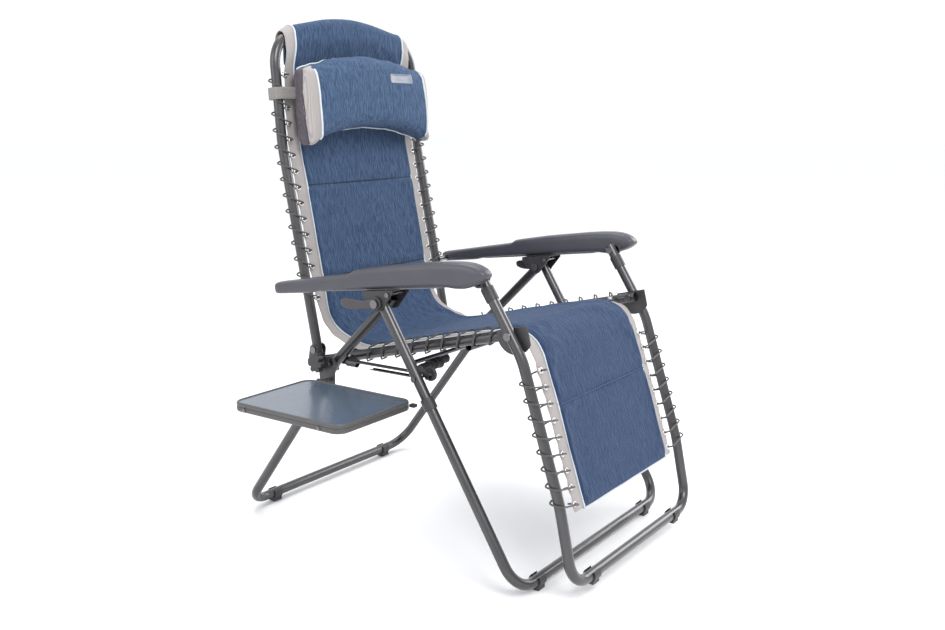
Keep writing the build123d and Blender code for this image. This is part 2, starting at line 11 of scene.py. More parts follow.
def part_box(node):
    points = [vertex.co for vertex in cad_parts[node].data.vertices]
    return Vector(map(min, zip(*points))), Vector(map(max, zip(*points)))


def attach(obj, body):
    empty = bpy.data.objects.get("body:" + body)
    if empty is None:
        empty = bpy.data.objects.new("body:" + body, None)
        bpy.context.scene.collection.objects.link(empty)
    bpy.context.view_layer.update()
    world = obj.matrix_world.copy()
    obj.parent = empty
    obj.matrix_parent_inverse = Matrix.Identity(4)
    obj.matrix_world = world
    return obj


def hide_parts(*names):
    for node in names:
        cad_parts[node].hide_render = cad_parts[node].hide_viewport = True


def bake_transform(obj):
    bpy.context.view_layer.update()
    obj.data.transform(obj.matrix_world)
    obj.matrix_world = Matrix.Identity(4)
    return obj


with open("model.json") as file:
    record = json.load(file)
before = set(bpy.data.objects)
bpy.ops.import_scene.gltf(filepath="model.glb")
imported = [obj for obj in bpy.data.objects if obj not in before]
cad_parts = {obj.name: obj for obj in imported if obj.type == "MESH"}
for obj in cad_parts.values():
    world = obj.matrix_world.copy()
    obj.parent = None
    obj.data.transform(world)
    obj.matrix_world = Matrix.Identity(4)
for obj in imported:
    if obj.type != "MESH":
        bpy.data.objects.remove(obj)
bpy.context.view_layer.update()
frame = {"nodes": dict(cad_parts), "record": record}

# Lengths are millimetres of the chair's own layout: x across, y from the hubs
# towards the back, z up from the floor.  place() turns them into the row frame.
HUB_Z = 554.0
SIDES = ((-1, "right"), (1, "left"))
low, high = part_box("hub_pins")
SHIFT = Vector(((low.x + high.x) / 2, (low.y + high.y) / 2, (low.z + high.z) / 2 - HUB_Z / 1000))

TUBE_R = 11.0
X_RAIL = 236.0
X_ARM = 301.0
ARM_W = 44.0
BACK_PIVOT = (253.2, 410.0)
ARM_REAR = (281.5, 553.0)
ARM_FRONT = (-214.0, 613.0)
BACK_BEND = (342.0, 858.0)
BACK_SHOULDER = (360.0, 1088.0)
CROWN_Z = 1131.0
CROWN_R = 520.0
CORNER_R = 74.0
SLING_HALF = 186.0
MARGIN_HALF = 219.0
EYELET_X = 211.0


def place(x, y, z):
    return Vector((x, y, z)) / 1000 + SHIFT


def smooth(t):
    t = max(0.0, min(1.0, t))
    return t * t * (3 - 2 * t)


def off_line(x, point, normal, lift):
    """The place that stands lift off a side-plane point, along its normal."""
    return place(x, point[0] + normal[0] * lift, point[1] + normal[1] * lift)


def unit(a, b):
    length = math.dist(a, b)
    return ((b[0] - a[0]) / length, (b[1] - a[1]) / length)


def along(a, b, distance):
    d = unit(a, b)
    return (a[0] + d[0] * distance, a[1] + d[1] * distance)


def new_mesh(name, verts, faces, material=None):
    mesh = bpy.data.meshes.new(name)
    mesh.from_pydata([tuple(v) for v in verts], [], faces)
    mesh.validate()
    obj = bpy.data.objects.new(name, mesh)
    bpy.context.scene.collection.objects.link(obj)
    mesh.shade_smooth()
    if material:
        mesh.materials.append(material)
    return obj


def face_outwards(obj):
    bm = bmesh.new()
    bm.from_mesh(obj.data)
    bmesh.ops.recalc_face_normals(bm, faces=bm.faces)
    bm.to_mesh(obj.data)
    bm.free()


def ring_faces(rings, around, closed=False):
    """Quads between rings of points that follow one another, each with the same number of points."""
    faces = []
    for i in range(rings if closed else rings - 1):
        j = (i + 1) % rings
        for k in range(around):
            m = (k + 1) % around
            faces.append((i * around + k, i * around + m, j * around + m, j * around + k))
    return faces


def ring_cap(ring, around):
    """The face that closes one ring."""
    return tuple(ring * around + k for k in range(around))


def sheet_faces(columns, rows):
    """Faces of a closed sheet: a front and a back grid of points, column by column, and the four edges."""
    def index(c, r, side):
        return side * columns * rows + c * rows + r

    faces = []
    end, foot = columns - 1, rows - 1
    for c in range(end):
        for r in range(foot):
            faces.append((index(c, r, 0), index(c + 1, r, 0), index(c + 1, r + 1, 0), index(c, r + 1, 0)))
            faces.append((index(c, r, 1), index(c, r + 1, 1), index(c + 1, r + 1, 1), index(c + 1, r, 1)))
    for r in range(foot):
        faces.append((index(0, r, 0), index(0, r + 1, 0), index(0, r + 1, 1), index(0, r, 1)))
        faces.append((index(end, r, 0), index(end, r, 1), index(end, r + 1, 1), index(end, r + 1, 0)))
    for c in range(end):
        faces.append((index(c, 0, 0), index(c, 0, 1), index(c + 1, 0, 1), index(c + 1, 0, 0)))
        faces.append((index(c, foot, 0), index(c + 1, foot, 0), index(c + 1, foot, 1), index(c, foot, 1)))
    return faces


def turned_points(centre, axis, profile, sides):
    """Rings of a turned part: profile is (radius, height) in mm along the axis from the centre."""
    axis = Vector(axis).normalized()
    a = axis.orthogonal().normalized()
    b = axis.cross(a)
    turns = [2 * math.pi * k / sides for k in range(sides)]
    return [centre + ((a * math.cos(t) + b * math.sin(t)) * radius + axis * height) / 1000
            for radius, height in profile for t in turns]


def lathe(name, centre, axis, profile, material, sides=28):
    """Turned part with flat ends and sharp corners."""
    faces = ring_faces(len(profile), sides)
    faces += [ring_cap(0, sides), ring_cap(len(profile) - 1, sides)]
    obj = new_mesh(name, turned_points(centre, axis, profile, sides), faces, material)
    face_outwards(obj)
    obj.data.set_sharp_from_angle(angle=math.radians(40))
    return obj


def rounded_rectangle(width, length, radius, per_corner=8):
    points = []
    for cx, cy, start in ((1, 1, 0), (-1, 1, 90), (-1, -1, 180), (1, -1, 270)):
        for k in range(per_corner + 1):
            a = math.radians(start + 90 * k / per_corner)
            points.append((cx * (width / 2 - radius) + radius * math.cos(a),
                           cy * (length / 2 - radius) + radius * math.sin(a)))
    return points


def eased_columns(half, columns, ease):
    """Columns across a panel, closer together towards its edges."""
    return [half * math.sin(math.pi / 2 * (2 * i / columns - 1) * ease) / math.sin(math.pi / 2 * ease)
            for i in range(columns + 1)]


def bulge(value, power):
    """A signed power, for superellipse sections."""
    return math.copysign(abs(value) ** power, value)


def finish_piece(piece, body, slot, *nodes):
    """Puts a piece on its body and hides the CAD nodes that it stands for; the slot argument is not used."""
    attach(piece, body)
    if nodes:
        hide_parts(*nodes)


def subdivide(obj):
    """Replaces the mesh by a smoother one, subdivided once."""
    obj.modifiers.new("finer", "SUBSURF").levels = 1
    bpy.context.view_layer.update()
    graph = bpy.context.evaluated_depsgraph_get()
    made = bpy.data.meshes.new_from_object(obj.evaluated_get(graph), depsgraph=graph)
    obj.modifiers.clear()
    old = obj.data
    obj.data = made
    bpy.data.meshes.remove(old)


def join(name, objects):
    """One object from several, materials kept."""
    bm = bmesh.new()
    materials = []
    for o in objects:
        first = len(materials)
        materials += list(o.data.materials)
        before = len(bm.faces)
        bm.from_mesh(o.data)
        bm.faces.ensure_lookup_table()
        for f in bm.faces[before:]:
            f.material_index += first
    mesh = bpy.data.meshes.new(name)
    bm.to_mesh(mesh)
    bm.free()
    for m in materials:
        mesh.materials.append(m)
    for o in objects:
        bpy.data.objects.remove(o)
    obj = bpy.data.objects.new(name, mesh)
    bpy.context.scene.collection.objects.link(obj)
    return obj


def spline_points(points, step):
    """Catmull-Rom points about a step apart through side-plane points."""
    p = [Vector(q) for q in points]
    p = [p[0] * 2 - p[1]] + p + [p[-1] * 2 - p[-2]]
    out = []
    for i in range(1, len(p) - 2):
        n = max(1, round((p[i + 1] - p[i]).length / step))
        for k in range(n):
            t = k / n
            a = 2 * p[i]
            b = (p[i + 1] - p[i - 1]) * t
            c = (2 * p[i - 1] - 5 * p[i] + 4 * p[i + 1] - p[i + 2]) * t * t
            d = (3 * p[i] - p[i - 1] - 3 * p[i + 1] + p[i + 2]) * t ** 3
            out.append((a + b + c + d) / 2)
    out.append(p[-2])
    return out


def tube_along(name, points, radius, material, sides=10):
    """A round tube through points in the row frame (metres)."""
    n = len(points)
    verts = []
    normal = None
    for i, p in enumerate(points):
        t = (points[min(i + 1, n - 1)] - points[max(i - 1, 0)]).normalized()
        if normal is None:
            normal = t.orthogonal().normalized()
        normal = (normal - t * normal.dot(t)).normalized()
        side = t.cross(normal)
        for k in range(sides):
            a = 2 * math.pi * k / sides
            verts.append(p + (normal * math.cos(a) + side * math.sin(a)) * radius)
    faces = ring_faces(n, sides)
    faces.append(ring_cap(0, sides)[::-1])
    faces.append(ring_cap(n - 1, sides))
    return new_mesh(name, verts, faces, material)


# ---- materials ----
class Material:
    """A small node-tree builder round one Principled shader."""

    def __init__(self, name, colour, roughness=0.5, metallic=0.0, **sockets):
        self.material = bpy.data.materials.new(name)
        self.material.use_nodes = True
        self.tree = self.material.node_tree
        self.shader = self.tree.nodes["Principled BSDF"]
        self.shader.inputs["Base Color"].default_value = (*colour, 1)
        self.shader.inputs["Roughness"].default_value = roughness
        self.shader.inputs["Metallic"].default_value = metallic
        for key, value in sockets.items():
            self.shader.inputs[key.replace("_", " ")].default_value = value

    def node(self, kind, inputs=(), **settings):
        n = self.tree.nodes.new(kind)
        for key, value in settings.items():
            setattr(n, key, value)
        for key, value in dict(inputs).items():
            if isinstance(value, bpy.types.NodeSocket):
                self.tree.links.new(value, n.inputs[key])
            else:
                n.inputs[key].default_value = value
        return n

    def coords(self, attribute=None):
        if attribute:
            return self.node("ShaderNodeAttribute", attribute_name=attribute).outputs["Vector"]
        return self.node("ShaderNodeTexCoord").outputs["Object"]

    def noise(self, vector, scale, detail=3.0, rough=0.5, distortion=0.0):
        return self.node("ShaderNodeTexNoise", {
            "Vector": vector, "Scale": scale, "Detail": detail,
            "Roughness": rough, "Distortion": distortion}).outputs["Fac"]

    def wave(self, vector, scale, direction, distortion, detail=2.0):
        return self.node("ShaderNodeTexWave", {
            "Vector": vector, "Scale": scale, "Distortion": distortion, "Detail": detail},
            bands_direction=direction).outputs["Fac"]

    def span(self, factor, to_low, to_high, from_low=0.0, from_high=1.0):
        return self.node("ShaderNodeMapRange", {
            "Value": factor, "From Min": from_low, "From Max": from_high,
            "To Min": to_low, "To Max": to_high}).outputs["Result"]

    def maths(self, operation, a, b=0.5):
        return self.node("ShaderNodeMath", {0: a, 1: b}, operation=operation).outputs[0]

    def mix(self, factor, a, b):
        n = self.node("ShaderNodeMix", {"Factor": factor}, data_type="RGBA")
        for socket, value in ((n.inputs[6], a), (n.inputs[7], b)):
            if isinstance(value, bpy.types.NodeSocket):
                self.tree.links.new(value, socket)
            else:
                socket.default_value = (*value, 1)
        return n.outputs[2]

    def colour(self, socket):
        self.tree.links.new(socket, self.shader.inputs["Base Color"])

    def rough(self, socket):
        self.tree.links.new(socket, self.shader.inputs["Roughness"])

    def bump(self, height, distance, strength=1.0, under=None):
        inputs = {"Height": height, "Distance": distance, "Strength": strength}
        if under:
            inputs["Normal"] = under
        out = self.node("ShaderNodeBump", inputs).outputs["Normal"]
        self.tree.links.new(out, self.shader.inputs["Normal"])
        return out


def coated(name, colour, clouds, haze, roughness, grain, depth, metallic=0.0, strength=0.5, **sockets):
    """Paint, plating or gloss sheet.  Clouds: scale, detail, dark, light.  Haze: scale, detail, low, high."""
    m = Material(name, colour, roughness, metallic, **sockets)
    at = m.coords()
    m.colour(m.mix(m.noise(at, *clouds[:2]), *clouds[2:]))
    m.rough(m.span(m.noise(at, *haze[:2]), *haze[2:]))
    m.bump(m.noise(at, grain, 2), depth, strength)
    return m.material


def moulded(name, dark, light, roughness, grain=900, depth=0.00012):
    m = Material(name, dark, roughness)
    at = m.coords()
    cloud = m.noise(at, 22, 4)
    m.colour(m.mix(cloud, dark, light))
    m.rough(m.span(m.noise(at, 160, 3), roughness - 0.07, roughness + 0.1))
    cells = m.node("ShaderNodeTexVoronoi", {"Vector": at, "Scale": grain}).outputs["Distance"]
    m.bump(cells, depth, 0.55)
    return m.material


def plated(name, tint):
    return coated(name, tint, (35, 3, tint, tuple(c * 0.72 for c in tint)), (120, 5, 0.16, 0.4), 0.25,
                  1500, 0.00004, metallic=1.0, strength=0.4)


# colour of the painted shade on the leg end of the sling
SHIN_SHADE_BLUE = (0.004, 0.022, 0.075)


def crinkle_cloth(name, shade, lit, shin_shade=None):
    """Blue woven cloth with fine upright crinkles: bark-like ridges on a weave."""
    m = Material(name, lit, 0.82, 0.0, Sheen_Weight=0.12, Sheen_Roughness=0.5)
    m.shader.inputs["Sheen Tint"].default_value = (0.45, 0.6, 0.85, 1)
    base = m.coords("cloth")
    wander = m.node("ShaderNodeTexNoise", {"Vector": base, "Scale": 26.0, "Detail": 2.0}).outputs["Color"]
    offset = m.node("ShaderNodeVectorMath", {0: wander, "Scale": 0.012}, operation="SCALE").outputs[0]
    bent = m.node("ShaderNodeVectorMath", {0: base, 1: offset}, operation="ADD").outputs[0]
    long_way = m.node("ShaderNodeMapping", {"Vector": bent, "Scale": (1.0, 0.13, 1.0)}).outputs["Vector"]
    ridge = m.noise(long_way, 330, 2.5, 0.55, 0.25)
    ridge = m.span(ridge, 0, 1, 0.36, 0.66)
    coarse = m.noise(long_way, 120, 2)
    threads = m.wave(base, 420.0, "X", 0.6, 1.0)
    picks = m.wave(base, 420.0, "Y", 0.6, 1.0)
    weave = m.maths("MULTIPLY", threads, picks)
    tone = m.mix(ridge, shade, lit)
    patch = m.noise(base, 9, 4)
    tone = m.mix(m.span(patch, 0.0, 0.4, 0.35, 0.75), tone, tuple(c * 0.72 for c in lit))
    tone = m.mix(m.span(weave, 0.0, 0.22), tone, tuple(c * 1.3 for c in lit))
    if shin_shade:
        # painted shade: the leg end of the panel is darkened towards a darker blue, as if it stood in shade
        # under light from above
        down = m.node("ShaderNodeSeparateXYZ", {"Vector": base}).outputs["Y"]
        tone = m.mix(m.span(down, 0.0, 0.8, *shin_shade), tone, SHIN_SHADE_BLUE)
    m.colour(tone)
    m.rough(m.span(ridge, 0.92, 0.72))
    first = m.bump(m.maths("ADD", ridge, m.maths("MULTIPLY", coarse, 0.7)), 0.0011, 0.75)
    m.bump(weave, 0.00022, 0.5, first)
    return m.material


def plain_weave(name, dark, light, attribute=None, pitch=1.1):
    """Open basket weave, pitch in millimetres."""
    m = Material(name, light, 0.85, 0.0, Sheen_Weight=0.15)
    base = m.coords(attribute)
    scale = 1000 / pitch / 2 / 3.1416
    across = m.wave(base, scale, "X", 0.4)
    up = m.wave(base, scale, "Y" if attribute else "Z", 0.4)
    weave = m.maths("MAXIMUM", across, up)
    cloud = m.noise(base, 40, 4)
    tone = m.mix(weave, dark, light)
    m.colour(m.mix(m.span(cloud, 0, 0.35), tone, tuple(c * 0.7 for c in light)))
    m.bump(weave, 0.00035, 0.7)
    return m.material


def braided(name, dark, light):
    m = Material(name, dark, 0.7, 0.0, Sheen_Weight=0.2)
    base = m.coords()
    braid = m.wave(base, 260.0, "DIAGONAL", 2.0, 1.0)
    fleck = m.noise(base, 900, 2)
    m.colour(m.mix(m.maths("MULTIPLY", braid, fleck), dark, light))
    m.bump(braid, 0.0003, 0.7)
    return m.material


PAINT = coated("frame_paint", (0.07, 0.068, 0.072), (14, 4, (0.048, 0.047, 0.05), (0.085, 0.083, 0.087)),
               (14, 4, 0.24, 0.4), 0.34, 2600, 0.00006, metallic=0.8, Coat_Weight=0.45, Coat_Roughness=0.2)
BRACKET = coated("bracket_paint", (0.11, 0.108, 0.113), (30, 5, (0.045, 0.045, 0.048), (0.09, 0.088, 0.092)),
                 (30, 5, 0.34, 0.52), 0.42, 1800, 0.00008, metallic=0.6)
TABLE = coated("table_panel_gloss", (0.1, 0.135, 0.18), (7, 4, (0.055, 0.08, 0.115), (0.088, 0.115, 0.152)),
               (60, 5, 0.16, 0.32), 0.2, 700, 0.00005, Coat_Weight=0.35, Coat_Roughness=0.12)
BLACK = moulded("black_plastic", (0.02, 0.019, 0.021), (0.036, 0.034, 0.038), 0.42)
GREY = moulded("armrest_grey", (0.043, 0.042, 0.055), (0.06, 0.059, 0.073), 0.34)
LEVER = moulded("lever_grey", (0.034, 0.03, 0.034), (0.052, 0.047, 0.05), 0.4)
RIM = moulded("table_rim_grey", (0.05, 0.048, 0.049), (0.078, 0.075, 0.076), 0.34)
STEEL = plated("zinc_steel", (0.2, 0.195, 0.2))
SILVER = plated("eyelet_silver", (0.78, 0.78, 0.78))
# the sling's cloth, with painted shade darkening its leg end
BLUE = crinkle_cloth("crinkle_blue", (0.008, 0.026, 0.068), (0.026, 0.066, 0.148), shin_shade=(0.72, 1.25))
PILLOW_BLUE = crinkle_cloth("pillow_blue", (0.012, 0.034, 0.08), (0.037, 0.083, 0.172))
SEAM = moulded("seam_thread", (0.006, 0.014, 0.035), (0.012, 0.024, 0.05), 0.8)
MARGIN = plain_weave("margin_weave", (0.2, 0.182, 0.176), (0.4, 0.372, 0.362), "cloth")
GUSSET = plain_weave("gusset_weave", (0.045, 0.036, 0.047), (0.1, 0.083, 0.103), "cloth")
PIPING = plain_weave("piping_weave", (0.42, 0.46, 0.5), (0.66, 0.7, 0.74), None, 0.8)
WEBBING = plain_weave("strap_webbing", (0.12, 0.112, 0.11), (0.23, 0.215, 0.21), None, 1.4)
DARK_WEB = plain_weave("dark_webbing", (0.02, 0.02, 0.022), (0.06, 0.055, 0.055), None, 1.4)
CORD = braided("elastic_braid", (0.02, 0.019, 0.02), (0.16, 0.15, 0.15))
BADGE = moulded("badge_plate", (0.11, 0.135, 0.18), (0.16, 0.19, 0.24), 0.3)

SLOT_LOOK = {"frame_tube": PAINT, "bracket_steel": BRACKET, "black_plastic": BLACK, "grey_plastic": GREY,
             "plated_steel": STEEL, "elastic_cord": CORD, "table_rim": RIM, "table_panel": TABLE,
             "strap_webbing": WEBBING, "blue_fabric": BLUE, "badge": BADGE}


def dress_cad_nodes():
    look = {s["node"]: SLOT_LOOK[s["material_slot"]] for s in frame["record"]["subparts"]}
    for name, obj in frame["nodes"].items():
        obj.data.materials.clear()
        obj.data.materials.append(look[name])


# ---- the sling: one long padded panel, cut at the joints afterwards ----
CROWN_Y = 362.3
WRAP_R = 15.6
CORNER_X = X_RAIL - CORNER_R
CROWN_SLOPE = (CROWN_Z - BACK_SHOULDER[1]) / X_RAIL
TILT = math.atan(CROWN_SLOPE)
CORNER_Z = CROWN_Z - CROWN_SLOPE * CORNER_X - CORNER_R / math.cos(TILT)


def crown_height(x):
    """Height and slope of the crown tube's centre line over x."""
    x = abs(x)
    if x < CROWN_R * math.sin(TILT):
        rise = math.sqrt(CROWN_R ** 2 - x * x)
        return CROWN_Z - CROWN_R / math.cos(TILT) + rise, x / rise
    turn = CORNER_X + CORNER_R * math.sin(TILT)
    if x < turn:
        return CROWN_Z - CROWN_SLOPE * x, CROWN_SLOPE
    dx = min(x - CORNER_X, CORNER_R * 0.97)
    rise = math.sqrt(CORNER_R ** 2 - dx * dx)
    return CORNER_Z + rise, dx / rise


def back_axis(z):
    """y of the back tube's centre line at a height."""
    low_d = unit(BACK_PIVOT, BACK_BEND)
    high_d = unit(BACK_BEND, BACK_SHOULDER)
    below = BACK_PIVOT[0] + low_d[0] / low_d[1] * (z - BACK_PIVOT[1])
    above = BACK_BEND[0] + high_d[0] / high_d[1] * (z - BACK_BEND[1])
    return below if z < BACK_BEND[1] else above


SHARED_TOP = 960.0
BACK_MIDDLE = [(back_axis(z), z) for z in (960, 910, 858, 800, 740, 680, 620, 575)]
LOWER_MIDDLE = [
    (277, 530), (272, 503), (264, 477), (248, 455), (222, 438), (190, 428), (158, 420), (128, 421),
    (60, 437.5), (-20, 457), (-110, 478.5), (-180, 493), (-228, 501), (-262, 500), (-285, 487),
    (-300, 465), (-311, 437), (-323, 405), (-336, 366), (-352, 318), (-371, 258), (-385, 215), (-400, 169)]
SEAM_POINTS = [(back_axis(766), 766), (back_axis(563), 563), (-300, 465), (-336, 366)]
# where the sling is cut for the bodies it spans, from the back down to the hem
CUTS = [(back_axis(563), 563), (262, 474), (128, 421), (-205, 498), (-300, 465), (-336, 366)]
SLING_BODIES = [
    ("back_frame",), ("back_frame", "back_hinges"), ("back_hinges", "seat_frame"), ("seat_frame",),
    ("seat_frame", "knee_plates"), ("knee_plates", "footrest_frame"), ("footrest_frame",)]
SECTION_NAMES = ["back", "lumbar_upper", "lumbar_lower", "seat", "knee_upper", "knee_lower", "shin"]
STEP = 7.0
FLAP_ROWS, ARC_ROWS, DROP_ROWS, TOP_ROWS = 6, 10, 11, 8
FLAP_DROP = 66.0


def wrap_path(x):
    """Stations of the sling's middle surface above the shared part, at one x."""
    z, slope = crown_height(x)
    tall = WRAP_R / math.cos(math.atan(slope))
    out = []
    for i in range(FLAP_ROWS):
        out.append((CROWN_Y + WRAP_R, z - FLAP_DROP * (1 - i / FLAP_ROWS)))
    for i in range(ARC_ROWS + 1):
        a = math.pi * i / ARC_ROWS
        out.append((CROWN_Y + WRAP_R * math.cos(a), z + tall * math.sin(a)))
    floor = z - 80
    for i in range(1, DROP_ROWS + 1):
        zi = z - 80 * i / DROP_ROWS
        away = WRAP_R * (1 - smooth((z - zi - 18) / 62))
        out.append((back_axis(zi) + (CROWN_Y - back_axis(z)) * (1 - i / DROP_ROWS) - away, zi))
    for i in range(1, TOP_ROWS + 1):
        zi = floor + (SHARED_TOP - floor) * i / TOP_ROWS
        out.append((back_axis(zi), zi))
    return out


SHARED = [tuple(p) for p in spline_points(BACK_MIDDLE + LOWER_MIDDLE, STEP)][1:]
WRAP_ROWS = len(wrap_path(0))
ROWS = WRAP_ROWS + len(SHARED)


def nearest_row(point):
    distance = [math.dist(p, point) for p in SHARED]
    return WRAP_ROWS + distance.index(min(distance))


SEAM_ROWS = [nearest_row(p) for p in SEAM_POINTS]
CUT_ROWS = [nearest_row(p) for p in CUTS]
MIDDLE = wrap_path(0) + SHARED
MIDDLE_LENGTH = np.concatenate([[0], np.cumsum([math.dist(a, b) for a, b in zip(MIDDLE[:-1], MIDDLE[1:])])])
LINES = {}


def middle_line(x):
    return wrap_path(x) + SHARED


def line_at(x):
    """The middle line at one x and its normals, worked out once."""
    key = round(abs(x), 3)
    if key not in LINES:
        line = middle_line(key)
        LINES[key] = line, row_normals(line)
    return LINES[key]


def row_normals(line):
    """Unit normals on the sitter's side of a line that runs down the back and out along the seat."""
    out = []
    for i in range(len(line)):
        a, b = line[max(0, i - 1)], line[min(len(line) - 1, i + 1)]
        d = unit(a, b)
        out.append((d[1], -d[0]))
    return out


def body_share(row):
    """0 on the wrap over the crown, 1 where the sling is fully padded."""
    first = FLAP_ROWS + ARC_ROWS + 4
    return smooth((row - first) / 12)


def seam_dip(row, width=6.5):
    s = MIDDLE_LENGTH[row]
    dip = 0.0
    for k, seam in enumerate(SEAM_ROWS):
        depth = 0.45 if k == 2 else 0.8
        dip = max(dip, depth * math.exp(-((s - MIDDLE_LENGTH[seam]) / width) ** 2))
    end = MIDDLE_LENGTH[-1] - s
    return max(dip, 0.8 * math.exp(-(end / 8) ** 2))


def edge_fall(x, half, power=2.6, run=26.0):
    """1 in the middle, falling round to 0 at the piped edge."""
    gap = max(0.0, half - abs(x)) / run
    return 1.0 if gap >= 1 else (1 - (1 - gap) ** power) ** (1 / power)


def mark_cloth(obj, across, first_row, depths):
    """Stores each point's place on the flat cloth, in metres, for the weave, and its row, for the cuts."""
    for name, kind in (("cloth", "FLOAT_VECTOR"), ("row", "FLOAT")):
        obj.data.attributes.new(name, kind, "POINT")
    cloth, row = obj.data.attributes["cloth"], obj.data.attributes["row"]
    i = 0
    for depth in depths:
        for x in across:
            for r in range(first_row, ROWS):
                cloth.data[i].vector = (x, MIDDLE_LENGTH[r] / 1000, depth)
                row.data[i].value = r
                i += 1


def build_sling_body():
    """Closed padded panel.  Returns the object and the points that stay put while it is inflated."""
    xs = eased_columns(SLING_HALF, 52, 0.97)
    front, back = [], []
    for x in xs:
        line = middle_line(x)
        normals = row_normals(line)
        for r in range(ROWS):
            pad = body_share(r) * edge_fall(x, SLING_HALF) * (1 - seam_dip(r))
            front.append(off_line(x, line[r], normals[r], 2.4 + 8.6 * pad))
            back.append(off_line(x, line[r], normals[r], -(2.2 + 4.8 * pad)))
    obj = new_mesh("sling_body", front + back, sheet_faces(len(xs), ROWS), BLUE)
    mark_cloth(obj, [x / 1000 for x in xs], 0, (0, 0.4))
    pins = list(range(len(front), 2 * len(front)))
    for c, x in enumerate(xs):
        for r in range(ROWS):
            edge = SLING_HALF - abs(x) < 9
            seam = min(abs(r - s) for s in SEAM_ROWS) < 1
            wrap = r < FLAP_ROWS + ARC_ROWS + 5 or r > ROWS - 3
            if edge or seam or wrap:
                pins.append(c * ROWS + r)
    return obj, pins


def puff(obj, pins, pressure, frames, cap, grow, stiffness):
    """Cloth simulation under pressure, with its result limited to a cap and applied."""
    start = read_points(obj.data)[0]
    obj.vertex_groups.new(name="held").add(pins, 1.0, "REPLACE")
    cloth = obj.modifiers.new("Cloth", "CLOTH")
    s = cloth.settings
    s.quality = 6
    s.mass = 0.25
    s.tension_stiffness = stiffness
    s.compression_stiffness = stiffness
    s.shear_stiffness = stiffness * 0.6
    s.bending_stiffness = 0.4
    s.air_damping = 2.0
    s.use_pressure = True
    s.uniform_pressure_force = pressure
    s.shrink_min = -grow
    s.effector_weights.gravity = 0.0
    s.vertex_group_mass = "held"
    cloth.collision_settings.use_collision = False
    cloth.point_cache.frame_start = 1
    cloth.point_cache.frame_end = frames
    scene = bpy.context.scene
    for f in range(1, frames + 1):
        scene.frame_set(f)
    graph = bpy.context.evaluated_depsgraph_get()
    made = bpy.data.meshes.new_from_object(obj.evaluated_get(graph), depsgraph=graph)
    move = read_points(made)[0] - start
    size = np.linalg.norm(move, axis=1)
    limit = np.where(size > 1e-9, cap * np.tanh(size / cap) / np.maximum(size, 1e-9), 0)
    obj.modifiers.clear()
    obj.vertex_groups.clear()
    write_points(obj, start + move * limit[:, None])
    bpy.data.meshes.remove(made)
    scene.frame_set(1)


def read_points(mesh):
    """Places and normals of a mesh's points, as arrays."""
    n = len(mesh.vertices)
    co, normal = np.zeros(n * 3, np.float32), np.zeros(n * 3, np.float32)
    mesh.vertices.foreach_get("co", co)
    mesh.vertex_normals.foreach_get("vector", normal)
    return co.reshape(-1, 3).astype(float), normal.reshape(-1, 3).astype(float)


def read_attribute(obj, name, key, width):
    values = np.zeros(len(obj.data.vertices) * width, np.float32)
    obj.data.attributes[name].data.foreach_get(key, values)
    return values.reshape(-1, width)


def write_points(obj, co):
    obj.data.vertices.foreach_set("co", co.astype(np.float32).ravel())
    obj.data.update()


def wrinkle(obj, amount, scale, seed):
    """Small soft folds by noise along the normals."""
    co, normal = read_points(obj.data)
    shift = Vector((seed, seed * 1.7, seed * 0.3))
    lift = np.array([noise.noise(Vector(p) * scale + shift) for p in co]) * amount
    write_points(obj, co + normal * lift[:, None])


def tension_folds(obj):
    """Pull lines where the panel turns at the lumbar corner and at the knee, and a dimple under the crown."""
    co, normal = read_points(obj.data)
    r = read_attribute(obj, "row", "value", 1)[:, 0]
    x = (co[:, 0] - SHIFT.x) * 1000
    side = np.abs(x) / SLING_HALF
    corner, knee = CUT_ROWS[1], CUT_ROWS[4]
    near = np.exp(-((r - corner - 2) / 7.0) ** 2)
    fold = np.sin(x * 0.085 + r * 0.5) * 0.9 + np.sin(x * 0.19 - r * 0.33) * 0.5
    lift = near * fold * (0.25 + 0.75 * side) * 1.5
    lift += np.exp(-((r - knee + 3) / 6.0) ** 2) * side ** 3 * np.sin(r * 1.25 + x * 0.05) * 1.3
    dimple = FLAP_ROWS + ARC_ROWS + DROP_ROWS + 3
    lift -= 5.0 * np.exp(-((x - 12) / 46) ** 2 - ((r - dimple) / 3.2) ** 2)
    lift -= 2.2 * np.exp(-((x + 95) / 30) ** 2 - ((r - dimple + 1) / 5.0) ** 2)
    lift *= np.clip((1 - side) * 8, 0, 1)
    write_points(obj, co + normal * (lift / 1000)[:, None])


def split_by_rows(obj, cuts, names):
    """Cuts a long mesh into sections at whole rows.  Normals stay those of the whole mesh."""
    mesh = obj.data
    co, normals = read_points(obj.data)
    rows = read_attribute(obj, "row", "value", 1)[:, 0]
    cloth = read_attribute(obj, "cloth", "vector", 3)
    bounds = [-1] + list(cuts) + [10 ** 6]
    pieces = []
    for k, name in enumerate(names):
        chosen = []
        for f in mesh.polygons:
            r = sum(rows[i] for i in f.vertices) / len(f.vertices)
            if bounds[k] <= r < bounds[k + 1]:
                chosen.append(f)
        used = sorted({i for f in chosen for i in f.vertices})
        renumber = {i: n for n, i in enumerate(used)}
        part = new_mesh(name, [Vector(co[i]) for i in used],
                        [tuple(renumber[i] for i in f.vertices) for f in chosen])
        for m in mesh.materials:
            part.data.materials.append(m)
        for f_new, f in zip(part.data.polygons, chosen):
            f_new.material_index = f.material_index
        a = part.data.attributes.new("cloth", "FLOAT_VECTOR", "POINT")
        a.data.foreach_set("vector", cloth[used].ravel())
        part.data.normals_split_custom_set_from_vertices([tuple(normals[i]) for i in used])
        pieces.append(part)
    bpy.data.objects.remove(obj)
    return pieces


